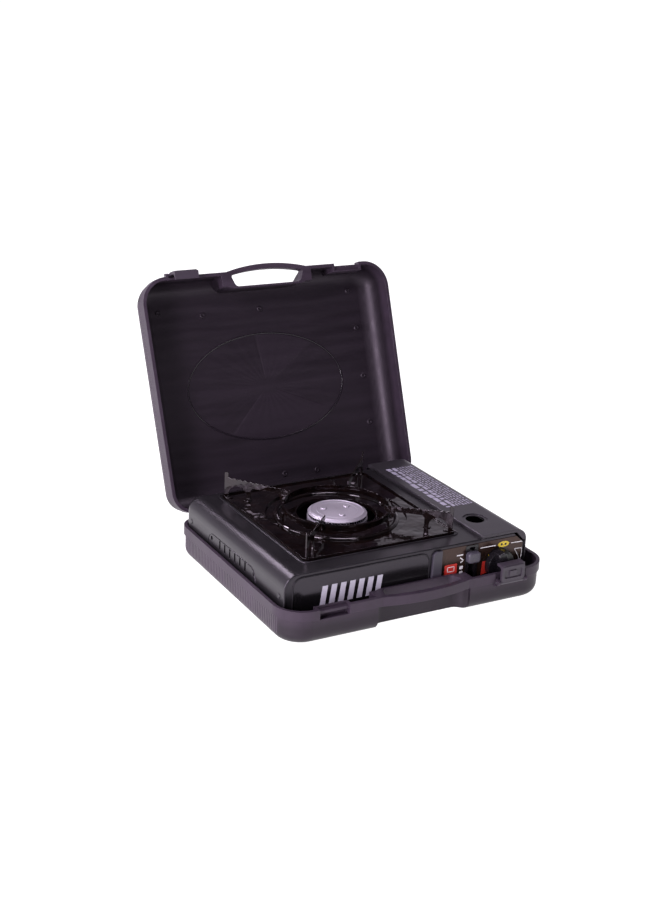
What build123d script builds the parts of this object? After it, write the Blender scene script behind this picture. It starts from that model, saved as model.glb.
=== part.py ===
"""Portable gas stove in its open carrying case, as separate pieces.

Millimetres, +Z up, +X to the right of the cook, -Y towards the cook. The origin is on the floor,
under the middle of the stove. The case lid is modelled in its open position.
"""
from build123d import *
from math import atan2, cos, degrees, hypot, radians, sin
import os

# ---------------------------------------------------------------- driving dimensions
# Stove body
STOVE_W = 340.0            # outside width, X
STOVE_D = 275.0            # outside depth, Y
DECK_Z = 81.5              # top of the steel deck
BODY_Z = 12.0              # underside of the steel body
SHEET = 1.2                # steel sheet
EDGE_R = 18.0              # big bend along the left top edge
SEAM_X = 102.0             # right edge of the deck, beside the cartridge cover
FLOOR_GAP = 3.0            # case floor thickness, on which the feet stand
FLANGE_IN = 2.0            # how far the front panel sits behind the shell's front edge

# Carrying case
CASE_X = 7.5               # middle of the case
CASE_HALF_REAR = 183.5     # half width at the hinge side
CASE_HALF_FRONT = 186.5    # half width at the handle side
CASE_REAR_Y = 148.5
CASE_FRONT_Y = -162.0
CASE_CORNER_R = 36.0       # corners at the handle side
CASE_REAR_R = 28.0         # corners at the hinge side
RIM_Z = 44.0               # parting plane of the two halves
LID_DEPTH = 47.0
BASE_EDGE_R = 14.0
LID_EDGE_R = 24.0
CASE_WALL = 2.5
BAND_H = 12.0              # proud band round each rim
BAND_OUT = 2.0
HINGE_OUT = 4.0            # hinge axis behind the rear wall
LID_OPEN = 111.7           # opening angle, 0 is closed
HANDLE_THICK = 12.0

# Hinges and latches of the case
HINGE_X = 105.0            # each side of the case middle
KNUCKLE_R = 3.6
PIN_R = 1.5
RUN_FIT = 0.05             # radial clearance of a turning fit
LATCH_W = 34.0
LATCH_MID = -124.0         # along the rim, from the case middle
LATCH_UP = 11.0            # how far the latch reaches past the rim
LATCH_PIVOT = 11.5         # pivot below the rim
LATCH_OFF = 4.0            # pivot in front of the wall
LATCH_T = 2.6

# Drip pan and supports
PAN_X, PAN_Y = -23.4, 3.3
PAN_W, PAN_D = 212.4, 225.6
PAN_LIP = 3.0
PAN_STEP_R = 89.0
PAN_HOLE_R = 50.0
RING_R = 68.0
RING_Z0, RING_Z1 = 87.5, 95.5
ARM_T = 1.6
ARM_TIP_Z = 116.0
ARM_OUT_Z, ARM_IN_Z = 109.5, 104.5

# Burner
BURNER_X, BURNER_Y = -21.5, 3.3
BURNER_R = 36.5
BURNER_TOP = 88.0
TUBE_Z = 50.0
TUBE_R = 9.0
TUBE_BEND = 25.0

# Controls on the front
FRONT_Y = -STOVE_D / 2
PANEL_Y = FRONT_Y + FLANGE_IN
KNOB_X, KNOB_Z, KNOB_R = 129.5, 45.0, 19.5
LEVER_X, LEVER_Z = 89.5, 61.0
LEVER_DROP = 18.0
CAP_X0, CAP_X1 = 30.0, 44.5
LABEL_X1 = 166.0

# Cartridge bay
BAY_X = 97.2
BAY_FRONT_Y = -92.0
CARTRIDGE_X, CARTRIDGE_Z, CARTRIDGE_R = 133.6, 50.0, 34.5
COVER_TOP = 85.5
COVER_R = 15.0
COVER_Z = 62.0             # lower edge of the cover's side wall
COVER_AXIS_X = STOVE_W / 2 + 1.9
COVER_AXIS_Z = COVER_Z - 0.25
COVER_PIN_R = 1.0
COVER_KNUCKLE_R = 1.7
COVER_HINGES = (-88.0, 88.0)
HOLE_X, HOLE_Y, HOLE_R = 127.0, -86.0, 12.0

HALF_W = STOVE_W / 2
HALF_D = STOVE_D / 2
HINGE_Y = CASE_REAR_Y + HINGE_OUT
LEVER_TRAVEL_Z = LEVER_Z - LEVER_DROP

# Each case half is drawn on its own rim plane, with Z into the half's depth, Y to the hinge.
LID_RIM = Plane(origin=(CASE_X, HINGE_Y, RIM_Z), x_dir=(1, 0, 0),
                z_dir=(0, sin(radians(LID_OPEN)), cos(radians(LID_OPEN))))
BASE_RIM = Plane(origin=(CASE_X, HINGE_Y, RIM_Z), x_dir=(-1, 0, 0), z_dir=(0, 0, -1))

os.makedirs("parts", exist_ok=True)


def save(part, name):
    """Label a finished piece and write it to its own STEP file."""
    part.label = name
    export_step(part, f"parts/{name}.step")


# ---------------------------------------------------------------- carrying case
REAR_V = -HINGE_OUT                       # rear wall in rim coordinates
FRONT_V = CASE_FRONT_Y - HINGE_Y          # front of the corners
WALL_V = FRONT_V + 2.0                    # front wall between the corners
NOTCH_V = FRONT_V + 9.5                   # bottom of the catch notch
RECESS_V = FRONT_V + 20.3                 # outside of the wall behind the handle
BAR_V = FRONT_V - 7.8                     # front of the handle bar
NOTCH_X0, NOTCH_X1 = 103.5, 143.0
GRIP_X0, GRIP_X1 = -56.0, 54.0            # ends of the finger gap
ARCH_X0, ARCH_X1 = -70.0, 66.0            # ends of the handle arch
BAR_T = 7.0
WELL_R = 14.0                             # rounding of the wall behind the handle


def case_corners(inset):
    """Plan corners of a case half, wider at the handle side, in rim coordinates."""
    rear, front = CASE_HALF_REAR - inset, CASE_HALF_FRONT - inset
    return [(-rear, REAR_V - inset), (-front, FRONT_V + inset),
            (front, FRONT_V + inset), (rear, REAR_V - inset)]


def rounded_block(rim, inset, start, depth, edge_r):
    """Plan outline pushed to a depth, with rounded corners and a rounded far edge."""
    with BuildPart(mode=Mode.PRIVATE) as block:
        with BuildSketch(rim.offset(start)) as plan:
            with BuildLine():
                Polyline(*case_corners(inset), close=True)
            make_face()
            fillet(plan.vertices().sort_by(Axis.Y)[:2], CASE_CORNER_R - inset)
            fillet(plan.vertices().sort_by(Axis.Y)[-2:], CASE_REAR_R - inset)
        extrude(amount=depth - start)
        if edge_r:
            far_face = block.faces().filter_by(rim).sort_by(Axis(rim.origin, rim.z_dir))[-1]
            fillet(far_face.edges(), edge_r)
    return block.part


def wall_region(rim, points, start, end, rear_r=0.0):
    """Filling between two depths, from a closed list of corners; rear_r rounds the two inner ones."""
    with BuildPart(mode=Mode.PRIVATE) as block:
        with BuildSketch(rim.offset(start)) as plan:
            with BuildLine():
                Polyline(*points, close=True)
            make_face()
            if rear_r:
                fillet(plan.vertices().sort_by(Axis.Y)[-2:], rear_r)
        extrude(amount=end - start)
    return block.part


def handle_arch(rim):
    """Bow-shaped band that carries the handle bar, as deep as the rim band."""
    with BuildPart(mode=Mode.PRIVATE) as arch:
        with BuildSketch(rim):
            with BuildLine():
                ThreePointArc((ARCH_X0, WALL_V), ((ARCH_X0 + ARCH_X1) / 2, BAR_V),
                              (ARCH_X1, WALL_V))
                Polyline((ARCH_X1, WALL_V), (ARCH_X1, RECESS_V), (ARCH_X0, RECESS_V),
                         (ARCH_X0, WALL_V))
            make_face()
        extrude(amount=HANDLE_THICK)
    return arch.part


def finger_gap(rim, start, end):
    """Lens-shaped hole between the handle bar and the wall behind it."""
    with BuildPart(mode=Mode.PRIVATE) as gap:
        with BuildSketch(rim.offset(start)) as plan:
            with BuildLine():
                ThreePointArc((GRIP_X0, FRONT_V + 5.0),
                              ((GRIP_X0 + GRIP_X1) / 2, BAR_V + BAR_T),
                              (GRIP_X1, FRONT_V + 5.0))
                Polyline((GRIP_X1, FRONT_V + 5.0), (GRIP_X1 - 6.0, RECESS_V),
                         (GRIP_X0 + 6.0, RECESS_V), (GRIP_X0, FRONT_V + 5.0))
            make_face()
            fillet(plan.vertices().sort_by(Axis.Y)[:2], 3.0)
            fillet(plan.vertices().sort_by(Axis.Y)[-2:], 7.0)
        extrude(amount=end - start)
    return gap.part


def knuckle(rim, x_mid, width):
    """Hinge knuckle on the hinge axis, with a web to the rear wall and a bore."""
    axis_plane = Plane(rim.from_local_coords((x_mid - width / 2, 0, 0)),
                       x_dir=rim.y_dir, z_dir=rim.x_dir)
    with BuildPart(mode=Mode.PRIVATE) as lug:
        with BuildSketch(axis_plane) as section:
            Circle(KNUCKLE_R)
            with BuildLine():
                Polyline((0, 0), (-HINGE_OUT - 1.5, 0), (-HINGE_OUT - 1.5, 7.0), (-2.0, 3.0),
                         close=True)
            make_face()
            Circle(PIN_R + RUN_FIT, mode=Mode.SUBTRACT)
        extrude(amount=width)
    return lug.part


def latch_lugs(rim, x_mid):
    """Pair of lugs in front of the wall that hold a latch pin."""
    pivot_v = WALL_V - LATCH_OFF
    with BuildPart(mode=Mode.PRIVATE) as lugs:
        for side in (-1, 1):
            x_near = x_mid + side * (LATCH_W / 2 + 0.5)
            lug_plane = Plane(rim.from_local_coords((x_near, 0, 0)),
                              x_dir=rim.y_dir, z_dir=rim.x_dir * side)
            with BuildSketch(lug_plane):
                with Locations((pivot_v, side * LATCH_PIVOT)):
                    Circle(3.6)
                with BuildLine():
                    Polyline((pivot_v, side * (LATCH_PIVOT - 3.6)),
                             (WALL_V + 1.5, side * (LATCH_PIVOT - 5.0)),
                             (WALL_V + 1.5, side * (LATCH_PIVOT + 7.0)),
                             (pivot_v, side * (LATCH_PIVOT + 3.6)), close=True)
                make_face()
                with Locations((pivot_v, side * LATCH_PIVOT)):
                    Circle(PIN_R, mode=Mode.SUBTRACT)
            extrude(amount=4.5)
    return lugs.part


def case_half(rim, depth, edge_r, knuckle_places):
    """One half of the moulded case: shell, rim band, handle, catch notch and hinge knuckles."""
    body = rounded_block(rim, BAND_OUT, 0.0, depth, edge_r)
    cavity = rounded_block(rim, BAND_OUT + CASE_WALL, -1.0, depth - CASE_WALL,
                           edge_r - CASE_WALL)
    inner_v = FRONT_V + BAND_OUT + CASE_WALL
    catch_wall = wall_region(rim, [(NOTCH_X0 - 3, FRONT_V + 2.5), (NOTCH_X1 + 3, FRONT_V + 2.5),
                                   (NOTCH_X1 + 3, NOTCH_V + CASE_WALL),
                                   (NOTCH_X0 - 3, NOTCH_V + CASE_WALL)], 0.0, depth - BASE_EDGE_R)
    recess_wall = wall_region(rim, [(ARCH_X0, inner_v - 1.5), (ARCH_X1, inner_v - 1.5),
                                    (ARCH_X1 - 6, RECESS_V + CASE_WALL),
                                    (ARCH_X0 + 6, RECESS_V + CASE_WALL)], 0.0, depth,
                              WELL_R + CASE_WALL)
    notch = wall_region(rim, [(NOTCH_X0, FRONT_V - 4), (NOTCH_X1, FRONT_V - 4),
                              (NOTCH_X1, NOTCH_V), (NOTCH_X0, NOTCH_V)], -1.0, 13.0)
    catch = wall_region(rim, [(NOTCH_X0 - 1, FRONT_V + 3.5), (NOTCH_X1 + 1, FRONT_V + 3.5),
                              (NOTCH_X1 + 1, NOTCH_V + 1), (NOTCH_X0 - 1, NOTCH_V + 1)],
                        3.0, 6.5)
    latch_reach = LATCH_W / 2 + 5.5
    latch_recess = wall_region(rim, [(LATCH_MID - latch_reach, FRONT_V - 1),
                                     (LATCH_MID + latch_reach, FRONT_V - 1),
                                     (LATCH_MID + latch_reach, WALL_V),
                                     (LATCH_MID - latch_reach, WALL_V)], -1.0, BAND_H + 1)
    under_grip = wall_region(rim, [(ARCH_X0 + 3, FRONT_V - 12), (ARCH_X1 - 3, FRONT_V - 12),
                                   (ARCH_X1 - 3, FRONT_V + 6), (ARCH_X1 - 9, RECESS_V),
                                   (ARCH_X0 + 9, RECESS_V), (ARCH_X0 + 3, FRONT_V + 6)],
                             HANDLE_THICK, depth + 1, WELL_R)
    with BuildPart(mode=Mode.PRIVATE) as inner_walls:
        add(catch_wall)
        add(recess_wall)
        add(body, mode=Mode.INTERSECT)
    with BuildPart() as half:
        add(body)
        add(rounded_block(rim, 0.0, 0.0, BAND_H, 0))
        add(cavity, mode=Mode.SUBTRACT)
        add(latch_recess, mode=Mode.SUBTRACT)
        add(inner_walls.part)
        add(handle_arch(rim))
        add(notch, mode=Mode.SUBTRACT)
        add(catch)
        add(under_grip, mode=Mode.SUBTRACT)
        add(finger_gap(rim, -1.0, HANDLE_THICK + 1), mode=Mode.SUBTRACT)
        for x_mid, width in knuckle_places:
            add(knuckle(rim, x_mid, width))
        add(latch_lugs(rim, LATCH_MID))
    return half.part


LID_KNUCKLES = [(side * HINGE_X, 11.0) for side in (-1, 1)]
BASE_KNUCKLES = [(side * HINGE_X + step, 10.0) for side in (-1, 1) for step in (-11.0, 11.0)]
STOP_LUGS = (-40.0, 55.0)


def stop_lug(x_mid):
    """Small rear bracket that the open lid's back wall leans on."""
    lean = radians(LID_OPEN)
    wall_y = HINGE_Y - HINGE_OUT * cos(lean)
    wall_z = RIM_Z + HINGE_OUT * sin(lean)
    run = 14.0
    gap = 0.3
    top_in = (wall_y - gap * -cos(lean), wall_z - gap * sin(lean))
    top_out = (top_in[0] + run * sin(lean), top_in[1] + run * cos(lean))
    with BuildPart(mode=Mode.PRIVATE) as lug:
        with BuildSketch(Plane.YZ.offset(x_mid - 6)):
            with BuildLine():
                Polyline((CASE_REAR_Y - 1.5, RIM_Z - BAND_H), (CASE_REAR_Y - 1.5, RIM_Z - 0.5),
                         (CASE_REAR_Y + 2.0, RIM_Z - 0.5), top_in, top_out,
                         (top_out[0], top_out[1] - 4.0), close=True)
            make_face()
        extrude(amount=12)
    return lug.part


with BuildPart() as case_base:
    add(case_half(BASE_RIM, RIM_Z, BASE_EDGE_R, BASE_KNUCKLES))
    for lug_x in STOP_LUGS:
        add(stop_lug(lug_x))
save(case_base.part, "case_base")

with BuildPart() as case_lid:
    add(case_half(LID_RIM, LID_DEPTH, LID_EDGE_R, LID_KNUCKLES))
save(case_lid.part, "case_lid")

with BuildPart() as case_hinge_pins:
    for side in (-1, 1):
        with BuildSketch(Plane.YZ.offset(CASE_X + side * HINGE_X - 16.5)):
            with Locations((HINGE_Y, RIM_Z)):
                Circle(PIN_R)
        extrude(amount=33)
save(case_hinge_pins.part, "case_hinge_pins")


def latch(rim):
    """Snap latch: plate with a raised border, hook at the free end and a pivot barrel."""
    pivot_v = WALL_V - LATCH_OFF
    plate_v = pivot_v - 1.2
    side_plane = Plane(rim.from_local_coords((LATCH_MID - LATCH_W / 2, 0, 0)),
                       x_dir=rim.y_dir, z_dir=rim.x_dir)
    with BuildPart() as plate:
        with BuildSketch(side_plane):
            with Locations((pivot_v, LATCH_PIVOT)):
                Circle(3.2)
            with BuildLine():
                Polyline((plate_v - LATCH_T / 2, LATCH_PIVOT), (plate_v - LATCH_T / 2, -LATCH_UP),
                         (FRONT_V + 6.0, -LATCH_UP), (FRONT_V + 6.0, 3.0 - LATCH_UP),
                         (plate_v + 2.5, 3.4 - LATCH_UP), (plate_v + LATCH_T / 2, 5.0 - LATCH_UP),
                         (plate_v + LATCH_T / 2, LATCH_PIVOT), close=True)
            make_face()
            with Locations((pivot_v, LATCH_PIVOT)):
                Circle(PIN_R + RUN_FIT, mode=Mode.SUBTRACT)
        extrude(amount=LATCH_W)
        front_plane = Plane(rim.from_local_coords((LATCH_MID, plate_v - LATCH_T / 2, 0)),
                            x_dir=rim.x_dir, z_dir=rim.y_dir * -1)
        with BuildSketch(front_plane):
            with Locations((0, (LATCH_PIVOT - LATCH_UP) / 2)):
                RectangleRounded(LATCH_W, LATCH_UP + LATCH_PIVOT - 3, 4.0)
                RectangleRounded(LATCH_W - 8, LATCH_UP + LATCH_PIVOT - 11, 2.5,
                                 mode=Mode.SUBTRACT)
                RectangleRounded(11, 7, 1.5)
        extrude(amount=1.4)
    return plate.part


def latch_pin(rim):
    """Pin pressed through the two lugs of a case half."""
    pin_plane = Plane(rim.from_local_coords((LATCH_MID - LATCH_W / 2 - 5.0,
                                             WALL_V - LATCH_OFF, LATCH_PIVOT)),
                      x_dir=rim.y_dir, z_dir=rim.x_dir)
    with BuildPart() as pin:
        with BuildSketch(pin_plane):
            Circle(PIN_R)
        extrude(amount=LATCH_W + 10.0)
    return pin.part


save(latch(BASE_RIM), "base_latch")
save(latch(LID_RIM), "lid_latch")
save(latch_pin(BASE_RIM), "base_latch_pin")
save(latch_pin(LID_RIM), "lid_latch_pin")

# ---------------------------------------------------------------- stove body
VENT_Y = [33.0 - 14.0 * i for i in range(6)]
VENT_Z0, VENT_Z1 = 47.0, 61.0
REAR_VENT_X = [-90.0 + 18.0 * i for i in range(9)]
PAN_LEDGE = 8.0
BODY_CORNER_R = 14.0       # upright corner at the rear left, clear of the case corner


def hood_block(inset):
    """Left wall, bend and deck as one solid, with a rounded upright rear corner."""
    left, top, bend_r = -HALF_W + inset, DECK_Z - inset, EDGE_R - inset
    front = HALF_D if inset == 0 else HALF_D + 1
    with BuildPart(mode=Mode.PRIVATE) as block:
        with BuildSketch(Plane.XZ.offset(front)):
            with BuildLine():
                Line((left, BODY_Z - inset), (left, top - bend_r))
                RadiusArc((left, top - bend_r), (left + bend_r, top), bend_r)
                Polyline((left + bend_r, top), (SEAM_X, top), (SEAM_X, BODY_Z - inset),
                         (left, BODY_Z - inset))
            make_face()
        extrude(amount=-(front + HALF_D - inset))
        upright = block.edges().filter_by(Axis.Z).group_by(Axis.X)[0].sort_by(Axis.Y)[-1]
        fillet(upright, BODY_CORNER_R - inset)
    return block.part


with BuildPart() as body_shell:
    add(hood_block(0.0))
    add(hood_block(SHEET), mode=Mode.SUBTRACT)
    # rear wall on to the right end
    with BuildSketch(Plane.XZ.offset(-HALF_D)):
        with BuildLine():
            Polyline((SEAM_X - 1, BODY_Z), (SEAM_X - 1, DECK_Z - 1.0), (HALF_W - 14.0, DECK_Z - 1.0),
                     (HALF_W - 5.0, DECK_Z - 4.0), (HALF_W - SHEET - 0.3, DECK_Z - 12.0),
                     (HALF_W - SHEET - 0.3, BODY_Z), close=True)
        make_face()
    extrude(amount=SHEET)
    # opening under the drip pan
    with BuildSketch(Plane.XY.offset(DECK_Z - 5)):
        with Locations((PAN_X, PAN_Y)):
            RectangleRounded(PAN_W - 2 * PAN_LEDGE, PAN_D - 2 * PAN_LEDGE, 12)
    extrude(amount=10, mode=Mode.SUBTRACT)
    # vents
    with BuildSketch(Plane.YZ.offset(-HALF_W)):
        with Locations(*[(y, (VENT_Z0 + VENT_Z1) / 2) for y in VENT_Y]):
            SlotOverall(VENT_Z1 - VENT_Z0, 3.6, rotation=90)
        with Locations((56.0, 54.0), (-60.0, 53.0)):
            Circle(2.6)
    extrude(amount=6, both=True, mode=Mode.SUBTRACT)
    with BuildSketch(Plane.XZ.offset(-HALF_D)):
        with Locations(*[(x, (VENT_Z0 + VENT_Z1) / 2 - 6) for x in REAR_VENT_X]):
            SlotOverall(VENT_Z1 - VENT_Z0, 3.6, rotation=90)
    extrude(amount=6, both=True, mode=Mode.SUBTRACT)
save(body_shell.part, "body_shell")

with BuildPart() as base_tray:
    with BuildSketch(Plane.XY.offset(BODY_Z)) as tray_plan:
        Rectangle(STOVE_W - 2 * SHEET - 0.6, STOVE_D - 2 * SHEET - 0.6)
        fillet(tray_plan.vertices().sort_by(Axis.X)[:2], BODY_CORNER_R - SHEET - 0.3)
    extrude(amount=SHEET)
    # right wall, up to the cover
    with BuildSketch(Plane.XY.offset(BODY_Z)):
        with Locations((HALF_W - SHEET / 2, 0)):
            Rectangle(SHEET, STOVE_D)
    extrude(amount=COVER_Z - 0.5 - BODY_Z)
    with BuildSketch(Plane.XY.offset(BODY_Z)):
        with Locations((HALF_W - 4, 0)):
            Rectangle(8, STOVE_D - 2 * SHEET - 0.6)
    extrude(amount=SHEET)
    # air slots under the burner
    with BuildSketch(Plane.XY.offset(BODY_Z)):
        with Locations((BURNER_X, BURNER_Y)):
            with PolarLocations(62, 8):
                SlotOverall(30, 6, rotation=90)
    extrude(amount=SHEET, mode=Mode.SUBTRACT)
    # hinge knuckles of the cartridge cover
    for hinge_y in COVER_HINGES:
        for step in (-9.0, 4.0):
            with BuildSketch(Plane.XZ.offset(-(hinge_y + step))):
                with Locations((COVER_AXIS_X, COVER_AXIS_Z)):
                    Circle(COVER_KNUCKLE_R)
                with Locations(((HALF_W - 0.6 + COVER_AXIS_X) / 2, COVER_AXIS_Z - 1.1)):
                    Rectangle(COVER_AXIS_X - HALF_W + 0.6, 1.2)
                with Locations((COVER_AXIS_X, COVER_AXIS_Z)):
                    Circle(COVER_PIN_R, mode=Mode.SUBTRACT)
            extrude(amount=-5.0)
save(base_tray.part, "base_tray")

with BuildPart() as front_panel:
    with BuildSketch(Plane.XZ.offset(-PANEL_Y)) as face_plan:
        with BuildLine():
            Polyline((-HALF_W + SHEET + 0.3, BODY_Z + SHEET + 0.3),
                     (-HALF_W + SHEET + 0.3, DECK_Z - EDGE_R))
            RadiusArc((-HALF_W + SHEET + 0.3, DECK_Z - EDGE_R),
                      (-HALF_W + EDGE_R, DECK_Z - SHEET - 0.3), EDGE_R - SHEET - 0.3)
            Polyline((-HALF_W + EDGE_R, DECK_Z - SHEET - 0.3),
                     (HALF_W - EDGE_R, DECK_Z - SHEET - 0.3))
            Polyline((HALF_W - EDGE_R, DECK_Z - SHEET - 0.3), (HALF_W - SHEET - 0.3, DECK_Z - 16),
                     (HALF_W - SHEET - 0.3, BODY_Z + SHEET + 0.3),
                     (-HALF_W + SHEET + 0.3, BODY_Z + SHEET + 0.3))
        make_face()
        with Locations((LEVER_X, (LEVER_Z + LEVER_TRAVEL_Z) / 2)):
            RectangleRounded(10, LEVER_DROP + 26, 2, mode=Mode.SUBTRACT)
        with Locations((KNOB_X, KNOB_Z)):
            Circle(7, mode=Mode.SUBTRACT)
    extrude(amount=-SHEET)
save(front_panel.part, "front_panel")

with BuildPart() as panel_end_cap:
    with BuildSketch(Plane.XZ.offset(-PANEL_Y)):
        with BuildLine():
            Polyline((CAP_X0, 16), (CAP_X0 + 2.0, DECK_Z - 9), (CAP_X0 + 6.0, DECK_Z - 5),
                     (CAP_X1, DECK_Z - 5), (CAP_X1, 16), close=True)
        make_face()
    extrude(amount=3.4)
    front_edges = panel_end_cap.faces().sort_by(Axis.Y)[0].edges()
    fillet(front_edges.sort_by(Axis.X)[:3], 1.2)
save(panel_end_cap.part, "panel_end_cap")

LABEL_T = 0.6
with BuildPart() as control_label:
    with BuildSketch(Plane.XZ.offset(-PANEL_Y)):
        with BuildLine():
            Polyline((CAP_X1 + 0.2, 18), (CAP_X1 + 0.2, DECK_Z - 5), (LABEL_X1 - 10, DECK_Z - 5),
                     (LABEL_X1, DECK_Z - 15), (LABEL_X1, 18), close=True)
        make_face()
        with Locations((LEVER_X, (LEVER_Z + LEVER_TRAVEL_Z) / 2)):
            RectangleRounded(19, LEVER_DROP + 30, 2, mode=Mode.SUBTRACT)
        with Locations((KNOB_X, KNOB_Z)):
            Circle(KNOB_R + 1.5, mode=Mode.SUBTRACT)
    extrude(amount=LABEL_T)
save(control_label.part, "control_label")

with BuildPart() as rubber_feet:
    with BuildSketch(Plane.XY.offset(FLOOR_GAP)):
        with GridLocations(286, 220, 2, 2):
            Circle(8)
    extrude(amount=BODY_Z - FLOOR_GAP)
    chamfer(rubber_feet.faces().filter_by(Axis.Z).group_by(Axis.Z)[0].edges(), 1.5)
save(rubber_feet.part, "rubber_feet")

SCREW_PLACES = [(y, 52.5) for y in (-124.0, 118.0)]
with BuildPart() as side_screws:
    for side in (-1, 1):
        with BuildSketch(Plane.YZ.offset(side * HALF_W)):
            with Locations(*SCREW_PLACES):
                Circle(3.4)
        extrude(amount=side * 0.8)
    chamfer(side_screws.edges().filter_by(GeomType.CIRCLE).filter_by(
        lambda edge: abs(edge.center().X) > HALF_W + 0.5), 0.35)
save(side_screws.part, "side_screws")

# ---------------------------------------------------------------- cartridge bay
with BuildPart() as bay_partition:
    with BuildSketch(Plane.XY.offset(BODY_Z + SHEET + 0.1)):
        with Locations((BAY_X - SHEET / 2, (BAY_FRONT_Y + HALF_D - 1.6) / 2)):
            Rectangle(SHEET, HALF_D - 1.6 - BAY_FRONT_Y)
        with Locations(((BAY_X + HALF_W - 1.6) / 2, BAY_FRONT_Y - SHEET / 2)):
            Rectangle(HALF_W - 1.6 - BAY_X, SHEET)
    extrude(amount=DECK_Z - 1.5 * SHEET - BODY_Z - SHEET - 0.8)
    # corner cut away under the bend of the cover
    with BuildSketch(Plane.XZ.offset(-BAY_FRONT_Y + 2 * SHEET)):
        with BuildLine():
            Polyline((HALF_W - 16, DECK_Z), (HALF_W, DECK_Z), (HALF_W, DECK_Z - 18), close=True)
        make_face()
    extrude(amount=-4 * SHEET, mode=Mode.SUBTRACT)
    # corner cut away under the rounded rear edge of the deck
    with BuildSketch(Plane.YZ.offset(BAY_X - 2 * SHEET)):
        with BuildLine():
            Polyline((HALF_D - 17, DECK_Z), (HALF_D, DECK_Z), (HALF_D, DECK_Z - 17), close=True)
        make_face()
    extrude(amount=4 * SHEET, mode=Mode.SUBTRACT)
    # socket opening in the front wall of the bay
    with BuildSketch(Plane.XZ.offset(-BAY_FRONT_Y + SHEET)):
        with Locations((CARTRIDGE_X, CARTRIDGE_Z)):
            Circle(16)
    extrude(amount=-3 * SHEET, mode=Mode.SUBTRACT)
    # gap under the wall for the heat plate
    with BuildSketch(Plane.YZ.offset(BAY_X - 3)):
        with Locations((35, BODY_Z + 3)):
            Rectangle(34, 6)
    extrude(amount=6, mode=Mode.SUBTRACT)
save(bay_partition.part, "bay_partition")

with BuildPart() as cartridge_cradle:
    # two saddles joined by a floor strip
    for saddle_y in (-70.0, 62.0):
        with BuildSketch(Plane.XZ.offset(-saddle_y)):
            with Locations((CARTRIDGE_X, BODY_Z + SHEET + 12.3)):
                Rectangle(62, 20)
            with Locations((CARTRIDGE_X, CARTRIDGE_Z)):
                Circle(CARTRIDGE_R + 0.6, mode=Mode.SUBTRACT)
        extrude(amount=-6)
    with BuildSketch(Plane.XY.offset(BODY_Z + SHEET + 2.3)):
        with Locations((CARTRIDGE_X + 24, 0)):
            Rectangle(10, 150)
    extrude(amount=1.2)
save(cartridge_cradle.part, "cartridge_cradle")

PUSH_REST_Y = 112.0
with BuildPart() as push_plate:
    with BuildSketch(Plane.XZ.offset(-PUSH_REST_Y)):
        with Locations((CARTRIDGE_X, 47)):
            RectangleRounded(56, 52, 8)
    extrude(amount=-2)
    with BuildSketch(Plane.XZ.offset(-PUSH_REST_Y - 2)):
        with Locations((CARTRIDGE_X, 47)):
            Circle(20)
            Circle(15, mode=Mode.SUBTRACT)
    extrude(amount=3)
save(push_plate.part, "push_plate")

# ---------------------------------------------------------------- burner and gas parts
with BuildPart() as burner_body:
    with BuildSketch(Plane.XZ.offset(-BURNER_Y)):
        with BuildLine():
            Polyline((BURNER_X, 36), (BURNER_X + 16, 36), (BURNER_X + 16, 58),
                     (BURNER_X + 26, 66), (BURNER_X + BURNER_R + 1.5, 74),
                     (BURNER_X + BURNER_R + 1.5, 80), (BURNER_X + BURNER_R - 2, 80),
                     (BURNER_X + BURNER_R - 2, 76), (BURNER_X + 24, 69),
                     (BURNER_X + 12.5, 60), (BURNER_X + 12.5, 39), (BURNER_X, 39), close=True)
        make_face()
    revolve(axis=Axis((BURNER_X, BURNER_Y, 0), (0, 0, 1)))
    # inlet boss towards the mixing tube
    with BuildSketch(Plane.XZ.offset(-(BURNER_Y - 14.0))):
        with Locations((BURNER_X, TUBE_Z)):
            Circle(TUBE_R + 3)
    extrude(amount=16)
    with BuildSketch(Plane.XZ.offset(-(BURNER_Y - 6.0))):
        with Locations((BURNER_X, TUBE_Z)):
            Circle(TUBE_R)
    extrude(amount=30, mode=Mode.SUBTRACT)
save(burner_body.part, "burner_body")

PORTS = 40
with BuildPart() as burner_cap:
    with BuildSketch(Plane.XZ.offset(-BURNER_Y)) as cap_profile:
        with BuildLine():
            Polyline((BURNER_X, BURNER_TOP - 2.6), (BURNER_X + BURNER_R - 3.5, BURNER_TOP - 2.6),
                     (BURNER_X + BURNER_R - 3.5, 80.1), (BURNER_X + BURNER_R, 80.1),
                     (BURNER_X + BURNER_R, BURNER_TOP - 2.4),
                     (BURNER_X + BURNER_R - 2, BURNER_TOP - 0.7), (BURNER_X, BURNER_TOP),
                     close=True)
        make_face()
    revolve(axis=Axis((BURNER_X, BURNER_Y, 0), (0, 0, 1)))
    with BuildSketch(Plane.XY.offset(81.6)):
        with Locations((BURNER_X, BURNER_Y)):
            with PolarLocations(BURNER_R - 1.5, PORTS):
                Rectangle(7, 2.2)
    extrude(amount=2.2, mode=Mode.SUBTRACT)
    # three raised dimples on top
    with BuildSketch(Plane.XY.offset(BURNER_TOP - 1.2)):
        with Locations((BURNER_X, BURNER_Y)):
            with PolarLocations(17.5, 3, start_angle=-100):
                Circle(4.2)
    extrude(amount=2.2)
    fillet(burner_cap.faces().filter_by(Axis.Z).sort_by(Axis.Z)[-3:].edges(), 1.2)
save(burner_cap.part, "burner_cap")

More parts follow.
